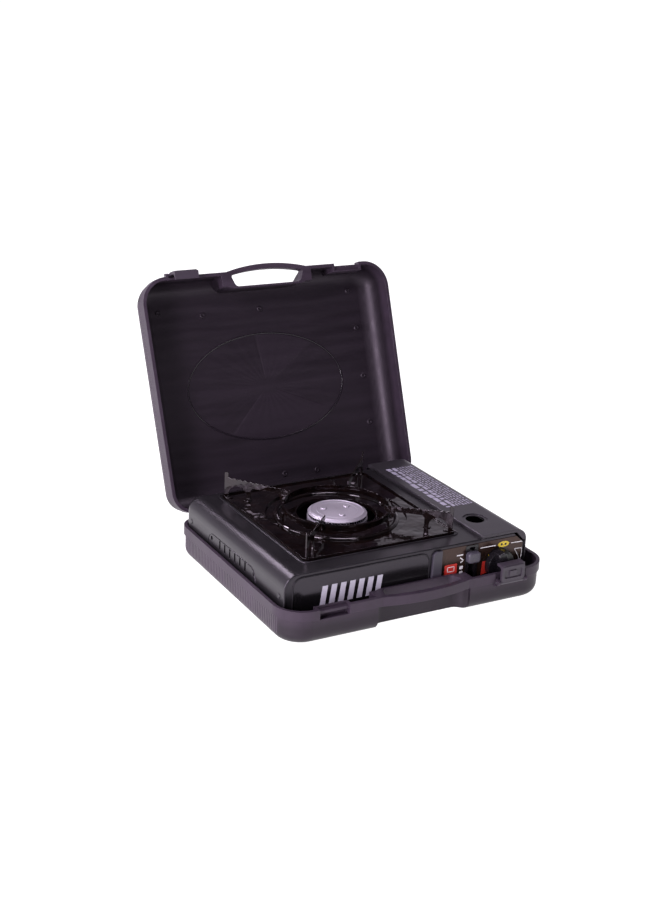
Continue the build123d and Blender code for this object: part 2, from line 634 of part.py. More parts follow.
with BuildPart() as burner_bracket:
    with BuildSketch(Plane.YZ.offset(BURNER_X)):
        with BuildLine():
            Polyline((BURNER_Y - 26, BODY_Z + SHEET), (BURNER_Y - 26, BODY_Z + 2 * SHEET),
                     (BURNER_Y - 16, BODY_Z + 2 * SHEET), (BURNER_Y - 16, 36),
                     (BURNER_Y + 16, 36), (BURNER_Y + 16, BODY_Z + 2 * SHEET),
                     (BURNER_Y + 26, BODY_Z + 2 * SHEET), (BURNER_Y + 26, BODY_Z + SHEET),
                     (BURNER_Y + 16 - SHEET, BODY_Z + SHEET), (BURNER_Y + 16 - SHEET, 36 - SHEET),
                     (BURNER_Y - 16 + SHEET, 36 - SHEET), (BURNER_Y - 16 + SHEET, BODY_Z + SHEET),
                     close=True)
        make_face()
    extrude(amount=10, both=True)
save(burner_bracket.part, "burner_bracket")

JET_Y = -112.0
TUBE_START_X = 92.0
with BuildPart() as mixing_tube:
    with BuildLine() as tube_path:
        Line((TUBE_START_X, JET_Y, TUBE_Z), (BURNER_X + TUBE_BEND, JET_Y, TUBE_Z))
        RadiusArc((BURNER_X + TUBE_BEND, JET_Y, TUBE_Z),
                  (BURNER_X, JET_Y + TUBE_BEND, TUBE_Z), TUBE_BEND)
        Line((BURNER_X, JET_Y + TUBE_BEND, TUBE_Z), (BURNER_X, BURNER_Y - 30.0, TUBE_Z))
    with BuildSketch(Plane(origin=(TUBE_START_X, JET_Y, TUBE_Z), z_dir=(-1, 0, 0))):
        Circle(TUBE_R)
        Circle(TUBE_R - 1.2, mode=Mode.SUBTRACT)
    sweep(path=tube_path.wire())
    # flared mouth at the jet
    with BuildSketch(Plane(origin=(TUBE_START_X, JET_Y, TUBE_Z), z_dir=(-1, 0, 0))):
        Circle(TUBE_R + 3.5)
        Circle(TUBE_R - 1.2, mode=Mode.SUBTRACT)
    extrude(amount=3)
save(mixing_tube.part, "mixing_tube")

REG_X0, REG_X1 = 107.0, 156.0
with BuildPart() as regulator_body:
    with BuildSketch(Plane.XY.offset(30)):
        with Locations(((REG_X0 + REG_X1) / 2, -112.5)):
            RectangleRounded(REG_X1 - REG_X0, 33, 5)
    extrude(amount=32)
    with BuildSketch(Plane.XZ.offset(96.2)):
        with Locations((CARTRIDGE_X, CARTRIDGE_Z)):
            Circle(13)
            Circle(6, mode=Mode.SUBTRACT)
    extrude(amount=-12)
    # bore for the valve spindle
    with BuildSketch(Plane.XZ.offset(129.2)):
        with Locations((KNOB_X, KNOB_Z)):
            Circle(4.0 + RUN_FIT)
    extrude(amount=-14, mode=Mode.SUBTRACT)
    # boss for the jet
    with BuildSketch(Plane.YZ.offset(REG_X0)):
        with Locations((JET_Y, TUBE_Z)):
            Circle(7)
    extrude(amount=-3)
save(regulator_body.part, "regulator_body")

with BuildPart() as regulator_cap:
    with BuildSketch(Plane.XY.offset(62)):
        with Locations(((REG_X0 + REG_X1) / 2, -112.5)):
            Circle(15.5)
    extrude(amount=7)
    fillet(regulator_cap.faces().sort_by(Axis.Z)[-1].edges(), 2.5)
save(regulator_cap.part, "regulator_cap")

with BuildPart() as gas_jet:
    with BuildSketch(Plane.YZ.offset(REG_X0 - 3)):
        with Locations((JET_Y, TUBE_Z)):
            RegularPolygon(5, 6)
    extrude(amount=-5)
    with BuildSketch(Plane.YZ.offset(REG_X0 - 8)):
        with Locations((JET_Y, TUBE_Z)):
            Circle(3)
    extrude(amount=-5)
save(gas_jet.part, "gas_jet")

with BuildPart() as heat_plate:
    with BuildSketch(Plane.XY.offset(BODY_Z + SHEET + 0.3)):
        with Locations((60, 41)):
            Rectangle(150, 18)
    extrude(amount=1.5)
    with BuildSketch(Plane.XY.offset(BODY_Z + SHEET + 0.3)):
        with Locations((-14.25, 41)):
            Rectangle(1.5, 18)
    extrude(amount=46)
save(heat_plate.part, "heat_plate")

# ---------------------------------------------------------------- ignition
ELECTRODE_ANGLE = 205.0
ELECTRODE_OUT = BURNER_R + 7.5
ELECTRODE_X = BURNER_X + ELECTRODE_OUT * cos(radians(ELECTRODE_ANGLE))
ELECTRODE_Y = BURNER_Y + ELECTRODE_OUT * sin(radians(ELECTRODE_ANGLE))
with BuildPart() as electrode_ceramic:
    with BuildSketch(Plane.XY.offset(58)):
        with Locations((ELECTRODE_X, ELECTRODE_Y)):
            Circle(3)
    extrude(amount=20)
    with BuildSketch(Plane.XY.offset(64)):
        with Locations((ELECTRODE_X, ELECTRODE_Y)):
            Circle(4)
    extrude(amount=4)
save(electrode_ceramic.part, "electrode_ceramic")

with BuildPart() as electrode_pin:
    with BuildSketch(Plane.XY.offset(78)):
        with Locations((ELECTRODE_X, ELECTRODE_Y)):
            Circle(0.9)
    extrude(amount=6)
    with BuildSketch(Plane(origin=(ELECTRODE_X, ELECTRODE_Y, 84),
                           z_dir=(-cos(radians(ELECTRODE_ANGLE)),
                                  -sin(radians(ELECTRODE_ANGLE)), 0.2))):
        Circle(0.9)
    extrude(amount=4.5)
save(electrode_pin.part, "electrode_pin")

with BuildPart() as electrode_bracket:
    with BuildSketch(Plane.XY.offset(62.4)):
        with Locations((ELECTRODE_X, ELECTRODE_Y)):
            Rectangle(14, 14)
            Circle(3.05, mode=Mode.SUBTRACT)
        with Locations((ELECTRODE_X + 11, ELECTRODE_Y + 2)):
            Rectangle(16, 10)
        with Locations((BURNER_X, BURNER_Y)):
            Circle(23.0, mode=Mode.SUBTRACT)
    extrude(amount=1.4)
save(electrode_bracket.part, "electrode_bracket")

IGNITER_X, IGNITER_Y = 58.0, -122.0
with BuildPart() as igniter_module:
    with BuildSketch(Plane.XY.offset(BODY_Z + SHEET + 0.2)):
        with Locations((IGNITER_X, IGNITER_Y)):
            RectangleRounded(38, 18, 3)
    extrude(amount=20)
save(igniter_module.part, "igniter_module")

# ---------------------------------------------------------------- controls
with BuildPart() as valve_spindle:
    with BuildSketch(Plane.XZ.offset(138.8)):
        with Locations((KNOB_X, KNOB_Z)):
            Circle(4.0)
    extrude(amount=-22)
save(valve_spindle.part, "valve_spindle")

KNOB_BACK_Y = PANEL_Y - 1.2
GRIP_TILT = 18.0
GRIP_LENGTH = 43.0
with BuildPart() as ignition_knob:
    with BuildSketch(Plane.XZ.offset(-KNOB_BACK_Y)):
        with Locations((KNOB_X, KNOB_Z)):
            Circle(KNOB_R)
    extrude(amount=8, taper=4)
    with BuildSketch(Plane.XZ.offset(-KNOB_BACK_Y + 6)):
        with Locations((KNOB_X, KNOB_Z)):
            RectangleRounded(13, GRIP_LENGTH, 4, rotation=GRIP_TILT)
    extrude(amount=12, taper=3)
    fillet(ignition_knob.faces().sort_by(Axis.Y)[0].edges(), 1.5)
    with BuildSketch(Plane.XZ.offset(-KNOB_BACK_Y)):
        with Locations((KNOB_X, KNOB_Z)):
            Circle(4.0)
    extrude(amount=3.5, mode=Mode.SUBTRACT)
save(ignition_knob.part, "ignition_knob")

with BuildPart() as lever_guide:
    with BuildSketch(Plane.XZ.offset(-PANEL_Y)):
        with Locations((LEVER_X, (LEVER_Z + LEVER_TRAVEL_Z) / 2)):
            RectangleRounded(18, LEVER_DROP + 29, 2)
            RectangleRounded(8.4, LEVER_DROP + 24, 1.5, mode=Mode.SUBTRACT)
    extrude(amount=1.0)
save(lever_guide.part, "lever_guide")

with BuildPart() as lock_lever:
    # arm through the slot
    with BuildSketch(Plane.XZ.offset(-PANEL_Y - 10)):
        with Locations((LEVER_X, LEVER_Z)):
            Rectangle(7.6, 9)
    extrude(amount=13.2)
    # thumb piece
    with BuildSketch(Plane.XZ.offset(-PANEL_Y + 1.4)):
        with Locations((LEVER_X, LEVER_Z)):
            RectangleRounded(18, 14, 4)
    extrude(amount=7)
    fillet(lock_lever.faces().sort_by(Axis.Y)[0].edges(), 2.0)
save(lock_lever.part, "lock_lever")

# ---------------------------------------------------------------- cartridge cover
with BuildPart() as cartridge_cover:
    cover_x0 = SEAM_X + 0.8
    cover_rear = HALF_D - SHEET - 0.4
    with BuildSketch(Plane.XZ.offset(-cover_rear)):
        with BuildLine():
            Line((cover_x0, DECK_Z - 0.9), (cover_x0, COVER_TOP - 1.5))
            RadiusArc((cover_x0, COVER_TOP - 1.5), (cover_x0 + 1.5, COVER_TOP), 1.5)
            Line((cover_x0 + 1.5, COVER_TOP), (HALF_W - COVER_R, COVER_TOP))
            RadiusArc((HALF_W - COVER_R, COVER_TOP), (HALF_W, COVER_TOP - COVER_R), COVER_R)
            Line((HALF_W, COVER_TOP - COVER_R), (HALF_W, COVER_Z))
            Line((HALF_W, COVER_Z), (HALF_W - SHEET, COVER_Z))
            Line((HALF_W - SHEET, COVER_Z), (HALF_W - SHEET, COVER_TOP - COVER_R))
            RadiusArc((HALF_W - SHEET, COVER_TOP - COVER_R),
                      (HALF_W - COVER_R, COVER_TOP - SHEET), -(COVER_R - SHEET))
            Line((HALF_W - COVER_R, COVER_TOP - SHEET), (cover_x0 + SHEET, COVER_TOP - SHEET))
            Line((cover_x0 + SHEET, COVER_TOP - SHEET), (cover_x0 + SHEET, DECK_Z - 0.9))
            Line((cover_x0 + SHEET, DECK_Z - 0.9), (cover_x0, DECK_Z - 0.9))
        make_face()
    extrude(amount=cover_rear + HALF_D - 0.4)
    # front and rear lips
    for lip_y in (-HALF_D + 0.4, cover_rear - SHEET):
        with BuildSketch(Plane.XZ.offset(-(lip_y + SHEET))):
            with BuildLine():
                Line((cover_x0 + 0.5, DECK_Z + 0.3), (cover_x0 + 0.5, COVER_TOP - 0.5))
                Line((cover_x0 + 0.5, COVER_TOP - 0.5), (HALF_W - COVER_R, COVER_TOP - 0.5))
                RadiusArc((HALF_W - COVER_R, COVER_TOP - 0.5),
                          (HALF_W - 0.5, COVER_TOP - COVER_R), COVER_R - 0.5)
                Polyline((HALF_W - 0.5, COVER_TOP - COVER_R), (HALF_W - 4.2, COVER_TOP - COVER_R),
                         (HALF_W - COVER_R, DECK_Z + 0.3), (cover_x0 + 0.5, DECK_Z + 0.3))
            make_face()
        extrude(amount=SHEET)
    # finger hole in its round dish
    with BuildSketch(Plane.XY.offset(COVER_TOP - 2.2)):
        with Locations((HOLE_X, HOLE_Y)):
            Circle(HOLE_R + 4.5)
    extrude(amount=2.2 - SHEET)
    with BuildSketch(Plane.XY.offset(COVER_TOP - 1.0)):
        with Locations((HOLE_X, HOLE_Y)):
            Circle(HOLE_R + 4)
    extrude(amount=2, mode=Mode.SUBTRACT)
    with BuildSketch(Plane.XY.offset(COVER_TOP - 4)):
        with Locations((HOLE_X, HOLE_Y)):
            Circle(HOLE_R)
    extrude(amount=6, mode=Mode.SUBTRACT)
    # hinge knuckles
    for hinge_y in COVER_HINGES:
        with BuildSketch(Plane.XZ.offset(-(hinge_y - 3.6))):
            with Locations((COVER_AXIS_X, COVER_AXIS_Z)):
                Circle(COVER_KNUCKLE_R)
            with Locations(((HALF_W - 0.6 + COVER_AXIS_X) / 2, COVER_AXIS_Z + 1.1)):
                Rectangle(COVER_AXIS_X - HALF_W + 0.6, 1.2)
            with Locations((COVER_AXIS_X, COVER_AXIS_Z)):
                Circle(COVER_PIN_R + RUN_FIT, mode=Mode.SUBTRACT)
        extrude(amount=-7.2)
save(cartridge_cover.part, "cartridge_cover")

with BuildPart() as cover_hinge_pins:
    for hinge_y in COVER_HINGES:
        with BuildSketch(Plane.XZ.offset(-(hinge_y - 9.5))):
            with Locations((COVER_AXIS_X, COVER_AXIS_Z)):
                Circle(COVER_PIN_R)
        extrude(amount=-19)
save(cover_hinge_pins.part, "cover_hinge_pins")

# ---------------------------------------------------------------- drip pan and pan supports
PAN_Z = DECK_Z + 0.2
PAN_T = 1.0
with BuildPart() as drip_pan:
    with BuildSketch(Plane.XY.offset(PAN_Z)):
        with Locations((PAN_X, PAN_Y)):
            RectangleRounded(PAN_W, PAN_D, 6)
    extrude(amount=PAN_LIP)
    with BuildSketch(Plane.XY.offset(PAN_Z + PAN_T)):
        with Locations((PAN_X, PAN_Y)):
            RectangleRounded(PAN_W - 2.4, PAN_D - 2.4, 4.8)
    extrude(amount=PAN_LIP, mode=Mode.SUBTRACT)
    # stepped-down round basin
    with BuildSketch(Plane.XY.offset(PAN_Z - 2.5)):
        with Locations((PAN_X, PAN_Y)):
            Circle(PAN_STEP_R + 1.5)
    extrude(amount=2.5 + PAN_T)
    with BuildSketch(Plane.XY.offset(PAN_Z - 2.5 + PAN_T)):
        with Locations((PAN_X, PAN_Y)):
            Circle(PAN_STEP_R)
    extrude(amount=6, mode=Mode.SUBTRACT)
    # burner hole with a turned-up collar
    with BuildSketch(Plane.XY.offset(PAN_Z - 2.5)):
        with Locations((PAN_X, PAN_Y)):
            Circle(PAN_HOLE_R + 1.2)
    extrude(amount=5)
    with BuildSketch(Plane.XY.offset(PAN_Z - 4)):
        with Locations((PAN_X, PAN_Y)):
            Circle(PAN_HOLE_R)
    extrude(amount=12, mode=Mode.SUBTRACT)
save(drip_pan.part, "drip_pan")

with BuildPart() as wind_ring:
    with BuildSketch(Plane.XY.offset(RING_Z0)):
        with Locations((PAN_X, PAN_Y)):
            Circle(RING_R)
            Circle(RING_R - 1.6, mode=Mode.SUBTRACT)
    extrude(amount=RING_Z1 - RING_Z0)
    with BuildSketch(Plane.XY.offset(RING_Z1 - 1.6)):
        with Locations((PAN_X, PAN_Y)):
            Circle(RING_R + 1.2)
            Circle(RING_R - 1.6, mode=Mode.SUBTRACT)
    extrude(amount=1.6)
save(wind_ring.part, "wind_ring")

PAN_FLOOR = PAN_Z + PAN_T
POST_R = hypot(PAN_W / 2, PAN_D / 2) - 5.0
POST_W = 5.0
TEETH = 11


def arm_top():
    """Serrated top edge of a support, from the post in to the ring."""
    inner, outer = RING_R - 6.0, POST_R - POST_W
    points = []
    for i in range(TEETH):
        here = outer - (outer - inner) * i / TEETH
        there = outer - (outer - inner) * (i + 0.6) / TEETH
        rise = ARM_OUT_Z + (ARM_IN_Z - ARM_OUT_Z) * i / TEETH
        points += [(here, rise), (there, rise - 1.8)]
    return points + [(inner, ARM_IN_Z)]


def pan_support(side_x, side_y):
    """Upright pressed arm from a pan corner to the wind ring, on two feet."""
    angle = degrees(atan2(side_y * PAN_D, side_x * PAN_W))
    spoke = Plane((PAN_X, PAN_Y, 0), x_dir=(cos(radians(angle)), sin(radians(angle)), 0),
                  z_dir=(sin(radians(angle)), -cos(radians(angle)), 0))
    leg_r = 117.0
    with BuildPart() as arm:
        with BuildSketch(spoke):
            with BuildLine():
                Polyline((POST_R, PAN_FLOOR), (POST_R, ARM_TIP_Z - 1), (POST_R - 1, ARM_TIP_Z),
                         (POST_R - POST_W + 1, ARM_TIP_Z), (POST_R - POST_W, ARM_TIP_Z - 1),
                         *arm_top(), (RING_R - 6.0, RING_Z1 + 3.5), (RING_R - 1.0, RING_Z1 + 0.4),
                         (RING_R + 1.05, RING_Z1 + 0.4), (RING_R + 1.05, RING_Z0 + 0.5),
                         (RING_R + 5.0, RING_Z0 + 0.5),
                         (RING_R + 9.0, 98.0), (leg_r - 6.0, 99.0), (leg_r - 3.0, 96.0),
                         (leg_r - 3.0, PAN_FLOOR), (leg_r + 3.0, PAN_FLOOR))
                ThreePointArc((leg_r + 3.0, PAN_FLOOR),
                              ((leg_r + POST_R - 1.0) / 2 - 1.0, PAN_FLOOR + 16.0),
                              (POST_R - POST_W - 1.0, PAN_FLOOR))
                Line((POST_R - POST_W - 1.0, PAN_FLOOR), (POST_R, PAN_FLOOR))
            make_face()
        extrude(amount=ARM_T / 2, both=True)
        # spot-welded feet
        foot_plane = Plane((PAN_X, PAN_Y, PAN_FLOOR), x_dir=spoke.x_dir, z_dir=(0, 0, 1))
        with BuildSketch(foot_plane):
            with Locations((leg_r, 4.0)):
                RectangleRounded(9, 9, 2)
            with Locations((POST_R - 8.0, 3.0)):
                RectangleRounded(8, 7.0, 2)
        extrude(amount=1.2)
    return arm.part


for label, side_x, side_y in (("front_left", -1, -1), ("front_right", 1, -1),
                              ("rear_left", -1, 1), ("rear_right", 1, 1)):
    save(pan_support(side_x, side_y), f"pan_support_{label}")
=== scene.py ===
"""Looks of the portable gas stove in its open carrying box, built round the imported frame."""
import bpy
import bmesh
import math
import random
from mathutils import Matrix, Vector


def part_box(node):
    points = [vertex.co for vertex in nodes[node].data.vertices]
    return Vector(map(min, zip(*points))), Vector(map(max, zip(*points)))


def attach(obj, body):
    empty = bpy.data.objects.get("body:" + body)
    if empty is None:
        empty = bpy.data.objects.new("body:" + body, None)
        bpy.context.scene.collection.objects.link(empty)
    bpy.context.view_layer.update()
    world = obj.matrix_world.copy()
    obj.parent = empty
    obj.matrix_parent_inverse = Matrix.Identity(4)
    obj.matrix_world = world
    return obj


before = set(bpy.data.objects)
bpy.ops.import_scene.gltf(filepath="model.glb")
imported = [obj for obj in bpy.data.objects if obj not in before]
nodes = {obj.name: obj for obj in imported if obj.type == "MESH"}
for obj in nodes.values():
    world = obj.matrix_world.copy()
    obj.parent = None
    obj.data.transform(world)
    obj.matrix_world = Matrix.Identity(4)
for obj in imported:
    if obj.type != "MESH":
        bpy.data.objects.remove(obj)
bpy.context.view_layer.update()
MM = 0.001

# ------------------------------------------------------------------ coordinates
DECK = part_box("drip_pan")[0][2] / MM          # underside of the basin
COVER_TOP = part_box("cartridge_cover")[1][2] / MM
PANEL_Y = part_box("front_panel")[0][1] / MM     # front face of the panel
LABEL_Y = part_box("control_label")[0][1] / MM   # front face of the label
WALL_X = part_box("body_shell")[0][0] / MM
FRONT_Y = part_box("body_shell")[0][1] / MM
HINGE = Vector((7.5, 152.5, 44.0))             # a point on the lid's hinge axis, in mm
LEAN = math.radians(111.7)                     # how far the lid stands open
UP_LID = Vector((0, -math.cos(LEAN), math.sin(LEAN)))     # from the hinge towards the lid's free edge
INTO_LID = Vector((0, math.sin(LEAN), math.cos(LEAN)))    # from the lid's rim towards its floor
PAN = Vector((-23.4, 3.3, 0))                  # middle of the drip pan, in plan
BURNER = Vector((-21.5, 3.3, 0))               # middle of the burner, in plan
BURNER_R = (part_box("burner_cap")[1][0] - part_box("burner_cap")[0][0]) / 2 / MM

OVAL_X, OVAL_UP = -3.5, 159                    # middle of the lid's oval panel, from the hinge
OVAL_A, OVAL_B = 119, 73                       # its half axes
SMOOTH_ANGLE = math.radians(35.0)              # edges sharper than this stay sharp


def on_lid(x, up, depth):
    """Lid coordinates, in mm from the hinge axis, to the row frame."""
    return Vector((x, HINGE.y, HINGE.z)) + UP_LID * up + INTO_LID * depth


# ------------------------------------------------------------------ mesh helpers
def finish_mesh(bm, name, material, body):
    """Turns a bmesh in millimetres into a piece that rides on a body."""
    bmesh.ops.remove_doubles(bm, verts=bm.verts, dist=1e-5)
    bmesh.ops.recalc_face_normals(bm, faces=bm.faces)
    bmesh.ops.scale(bm, verts=bm.verts, vec=(MM, MM, MM))
    mesh = bpy.data.meshes.new(name)
    bm.to_mesh(mesh)
    bm.free()
    obj = bpy.data.objects.new(name, mesh)
    bpy.context.collection.objects.link(obj)
    mesh.materials.append(material)
    for poly in mesh.polygons:
        poly.use_smooth = True
    mesh.set_sharp_from_angle(angle=SMOOTH_ANGLE)
    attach(obj, body)


def add_tube(bm, points, radius, closed=False, sides=8, flat=1.0):
    """Round bead along a list of points; flat squashes it along its second axis."""
    pts = [Vector(p) for p in points]
    count = len(pts)
    rings = []
    side = None
    for i, here in enumerate(pts):
        if closed:
            ahead, behind = pts[(i + 1) % count], pts[i - 1]
        else:
            ahead, behind = pts[min(i + 1, count - 1)], pts[max(i - 1, 0)]
        tangent = (ahead - behind).normalized()
        if side is None:
            seed = Vector((0, 0, 1)) if abs(tangent.z) < 0.9 else Vector((1, 0, 0))
            side = tangent.cross(seed).normalized()
        side = (side - tangent * side.dot(tangent)).normalized()
        other = tangent.cross(side)
        ring = []
        for k in range(sides):
            a = 2 * math.pi * k / sides
            ring.append(bm.verts.new(here + side * math.cos(a) * radius
                                     + other * math.sin(a) * radius * flat))
        rings.append(ring)
    pairs = list(zip(rings, rings[1:]))
    if closed:
        pairs.append((rings[-1], rings[0]))
    for one, two in pairs:
        for k in range(sides):
            bm.faces.new((one[k], one[(k + 1) % sides], two[(k + 1) % sides], two[k]))
    if not closed:
        bm.faces.new(rings[0])
        bm.faces.new(rings[-1])


def add_plate(bm, outline, normal, thick):
    """Flat plate: a closed outline of points, pushed along a normal."""
    low = [bm.verts.new(Vector(p)) for p in outline]
    high = [bm.verts.new(Vector(p) + Vector(normal) * thick) for p in outline]
    bm.faces.new(low)
    bm.faces.new(high)
    count = len(outline)
    for i in range(count):
        j = (i + 1) % count
        bm.faces.new((low[i], low[j], high[j], high[i]))


def add_lathe(bm, centre, axis, profile, sides=32):
    """Turned shape: (radius, height) pairs about an axis from a centre."""
    axis = Vector(axis).normalized()
    seed = Vector((1, 0, 0)) if abs(axis.x) < 0.9 else Vector((0, 1, 0))
    one = axis.cross(seed).normalized()
    two = axis.cross(one)
    rings = []
    for radius, height in profile:
        if radius < 1e-6:
            rings.append([bm.verts.new(Vector(centre) + axis * height)])
            continue
        rings.append([bm.verts.new(Vector(centre) + axis * height
                                   + one * math.cos(2 * math.pi * k / sides) * radius
                                   + two * math.sin(2 * math.pi * k / sides) * radius)
                      for k in range(sides)])
    for low, high in zip(rings, rings[1:]):
        for k in range(sides):
            j = (k + 1) % sides
            if len(low) == 1:
                bm.faces.new((low[0], high[k], high[j]))
            elif len(high) == 1:
                bm.faces.new((low[k], low[j], high[0]))
            else:
                bm.faces.new((low[k], low[j], high[j], high[k]))
    for ring in (rings[0], rings[-1]):
        if len(ring) > 1:
            bm.faces.new(ring)


def rounded_rect(x0, x1, z0, z1, r, steps=7):
    """Corner-rounded rectangle as 2D points."""
    out = []
    for cx, cz, start in ((x1 - r, z1 - r, 0), (x0 + r, z1 - r, 90),
                          (x0 + r, z0 + r, 180), (x1 - r, z0 + r, 270)):
        for i in range(steps + 1):
            a = math.radians(start + 90 * i / steps)
            out.append((cx + r * math.cos(a), cz + r * math.sin(a)))
    return out


def ellipse(cx, cz, a, b, count=48):
    """Ellipse as 2D points."""
    return [(cx + a * math.cos(2 * math.pi * i / count),
             cz + b * math.sin(2 * math.pi * i / count)) for i in range(count)]


def level_ring(centre, radius, z, count):
    """Circle of 3D points at one height."""
    return [(x, y, z) for x, y in ellipse(centre.x, centre.y, radius, radius, count)]


# ------------------------------------------------------------------ shader helpers
class Shader:
    """A material under construction: makes nodes and links in few words."""

    def __init__(self, name, **sockets):
        self.mat = bpy.data.materials.new(name)
        self.mat.use_nodes = True
        self.tree = self.mat.node_tree
        self.bsdf = self.tree.nodes["Principled BSDF"]
        for key, value in sockets.items():
            self.bsdf.inputs[key.replace("_", " ")].default_value = value
        self.coords = self.node("ShaderNodeTexCoord").outputs["Object"]

    def node(self, kind, ins=(), **attrs):
        """New node; ins gives each input a value or a socket to link from."""
        n = self.tree.nodes.new(kind)
        for key, value in attrs.items():
            setattr(n, key, value)
        for key, value in dict(ins).items():
            if isinstance(value, bpy.types.NodeSocket):
                self.tree.links.new(value, n.inputs[key])
            else:
                n.inputs[key].default_value = value
        return n

    def math(self, op, a, b=0.0, c=0.0):
        n = self.node("ShaderNodeMath", {0: a, 1: b, 2: c}, operation=op)
        return n.outputs[0]

    def dot(self, vector, direction):
        n = self.node("ShaderNodeVectorMath", {0: vector, 1: direction}, operation="DOT_PRODUCT")
        return n.outputs["Value"]

    def noise(self, scale, detail=3.0, rough=0.5, stretch=None):
        vector = self.coords
        if stretch:
            stretched = self.node("ShaderNodeMapping", {"Vector": vector, "Scale": stretch})
            vector = stretched.outputs[0]
        n = self.node("ShaderNodeTexNoise", {"Vector": vector, "Scale": scale, "Detail": detail,
                                             "Roughness": rough})
        return n.outputs[0]

    def ramp(self, value, low, high, to_low=0.0, to_high=1.0):
        """Value mapped from low..high to to_low..to_high, held at both ends."""
        n = self.node("ShaderNodeMapRange", {"Value": value, "From Min": low, "From Max": high,
                                             "To Min": to_low, "To Max": to_high})
        return n.outputs[0]

    def mix(self, factor, a, b):
        n = self.node("ShaderNodeMix", data_type="RGBA")
        for socket, value in ((n.inputs[0], factor), (n.inputs[6], a), (n.inputs[7], b)):
            if isinstance(value, bpy.types.NodeSocket):
                self.tree.links.new(value, socket)
            else:
                socket.default_value = value
        return n.outputs[2]

    def colour(self, socket):
        self.tree.links.new(socket, self.bsdf.inputs["Base Color"])

    def rough(self, socket):
        self.tree.links.new(socket, self.bsdf.inputs["Roughness"])

    def relief(self, layers, edge=0.0):
        """Stacked bumps: (height socket, strength, distance in m), on rounded edges if asked."""
        normal = None
        if edge:
            normal = self.node("ShaderNodeBevel", {"Radius": edge}, samples=4).outputs[0]
        for height, strength, distance in layers:
            ins = {"Height": height, "Strength": strength, "Distance": distance}
            if normal is not None:
                ins["Normal"] = normal
            normal = self.node("ShaderNodeBump", ins).outputs[0]
        self.tree.links.new(normal, self.bsdf.inputs["Normal"])


def rgb(r, g, b):
    return (r, g, b, 1.0)


# ------------------------------------------------------------------ camera, floor and light
AZ, EL, ROLL = math.radians(-30.273), math.radians(19.717), math.radians(2.671)
LOOK_AT, DISTANCE = Vector((86.93, 215.52, 80.0)), 2080.95     # in mm
FOCAL_PX, LONG_SIDE_PX, SENSOR_MM = 1474.87, 900, 36
back = Vector((math.sin(AZ) * math.cos(EL), -math.cos(AZ) * math.cos(EL), math.sin(EL)))
right = Vector((math.cos(AZ), math.sin(AZ), 0))
up = back.cross(right)
right, up = (right * math.cos(ROLL) + up * math.sin(ROLL),
             up * math.cos(ROLL) - right * math.sin(ROLL))
eye = (LOOK_AT + back * DISTANCE) * MM
cam_data = bpy.data.cameras.new("camera")
cam_data.lens = FOCAL_PX / LONG_SIDE_PX * SENSOR_MM
cam_data.sensor_width = SENSOR_MM
cam_data.shift_x = 0.0005
cam_data.shift_y = 0.0013
cam_data.clip_end = 50
camera = bpy.data.objects.new("camera", cam_data)
camera.matrix_world = Matrix((
    (right.x, up.x, back.x, eye.x),
    (right.y, up.y, back.y, eye.y),
    (right.z, up.z, back.z, eye.z),
    (0, 0, 0, 1)))
bpy.context.collection.objects.link(camera)
bpy.context.scene.camera = camera
bpy.context.scene.view_settings.view_transform = "Standard"

# sky: dimmer with height and towards the right and front, so that glossy faces show a gradient
world = bpy.data.worlds.new("studio")
bpy.context.scene.world = world
world.use_nodes = True
sky = world.node_tree
sky.nodes["Background"].inputs["Color"].default_value = (0.95, 0.88, 1.0, 1)
view_dir = sky.nodes.new("ShaderNodeTexCoord")
split = sky.nodes.new("ShaderNodeSeparateXYZ")
fall = sky.nodes.new("ShaderNodeMapRange")
sky.links.new(view_dir.outputs["Generated"], split.inputs[0])
sky.links.new(split.outputs["Z"], fall.inputs["Value"])
for key, value in (("From Min", 0.2), ("From Max", 0.55), ("To Min", 0.8), ("To Max", 0.12)):
    fall.inputs[key].default_value = value
aside = sky.nodes.new("ShaderNodeVectorMath")
aside.operation = "DOT_PRODUCT"
aside.inputs[1].default_value = (-0.6, 0.8, 0.0)
dim = sky.nodes.new("ShaderNodeMapRange")
for key, value in (("From Min", -0.7), ("From Max", 0.25), ("To Min", 0.12), ("To Max", 1.1)):
    dim.inputs[key].default_value = value
both = sky.nodes.new("ShaderNodeMath")
both.operation = "MULTIPLY"
sky.links.new(view_dir.outputs["Generated"], aside.inputs[0])
sky.links.new(aside.outputs["Value"], dim.inputs["Value"])
sky.links.new(fall.outputs[0], both.inputs[0])
sky.links.new(dim.outputs[0], both.inputs[1])
sky.links.new(both.outputs[0], sky.nodes["Background"].inputs["Strength"])

floor_shader = Shader("floor_white", Base_Color=(0.3, 0.3, 0.3, 1), Roughness=0.95,
                      Emission_Color=(1, 1, 1, 1), Emission_Strength=1.0)
floor_mesh = bpy.data.meshes.new("floor")
FLOOR_HALF, FLOOR_Z = 30.0, -0.0005            # in metres
floor_mesh.from_pydata([(-FLOOR_HALF, -FLOOR_HALF, FLOOR_Z), (FLOOR_HALF, -FLOOR_HALF, FLOOR_Z),
                        (FLOOR_HALF, FLOOR_HALF, FLOOR_Z), (-FLOOR_HALF, FLOOR_HALF, FLOOR_Z)],
                       [], [(0, 1, 2, 3)])
floor_mesh.materials.append(floor_shader.mat)
floor = bpy.data.objects.new("floor", floor_mesh)
bpy.context.collection.objects.link(floor)


LIGHT_TINT = (0.97, 0.88, 1.0)


